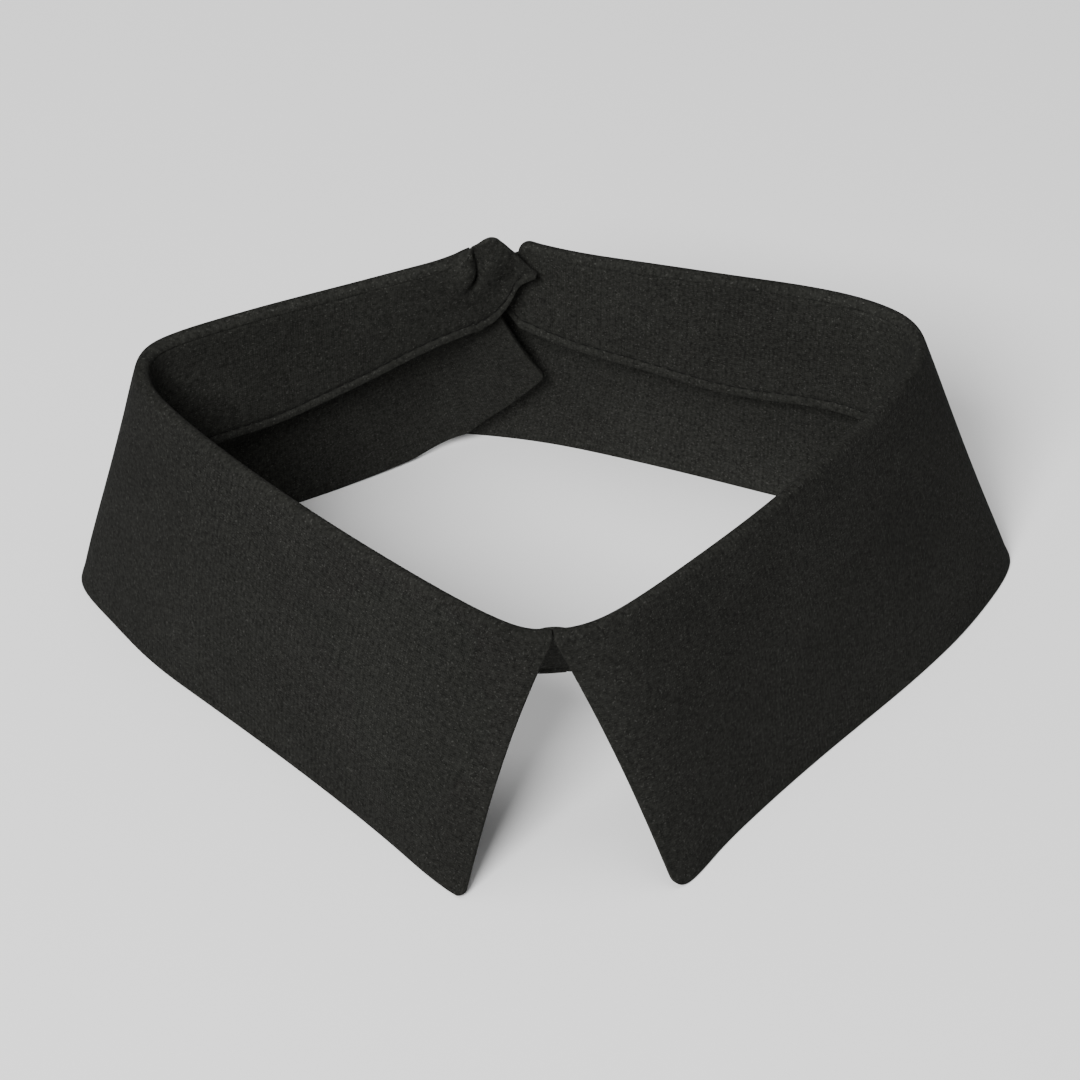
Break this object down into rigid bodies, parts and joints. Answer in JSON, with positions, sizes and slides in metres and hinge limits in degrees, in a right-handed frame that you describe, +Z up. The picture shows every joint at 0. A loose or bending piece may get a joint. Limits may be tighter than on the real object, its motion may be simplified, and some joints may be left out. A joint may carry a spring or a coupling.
{
  "type": "detachable shirt collar",
  "caption": "Pointed turn-down shirt collar, worn without a shirt, lapped and fastened at the back, with the band standing round an open neck.",
  "frame": {"origin": "middle of the footprint, on the surface that the hem stands on", "axes": "+Z up through the neck opening, the two points face -Y, +X is the widest direction"},
  "size_m": [0.196, 0.1385, 0.0671],
  "materials": {
    "cloth": "matt charcoal crepe",
    "press_stud": "black lacquered metal"
  },
  "bodies": {
    "root": {"leaf_left": "cloth", "leaf_right": "cloth", "stand": "cloth", "snap_stud": "press_stud", "snap_socket": "press_stud"}
  },
  "joints": []
}
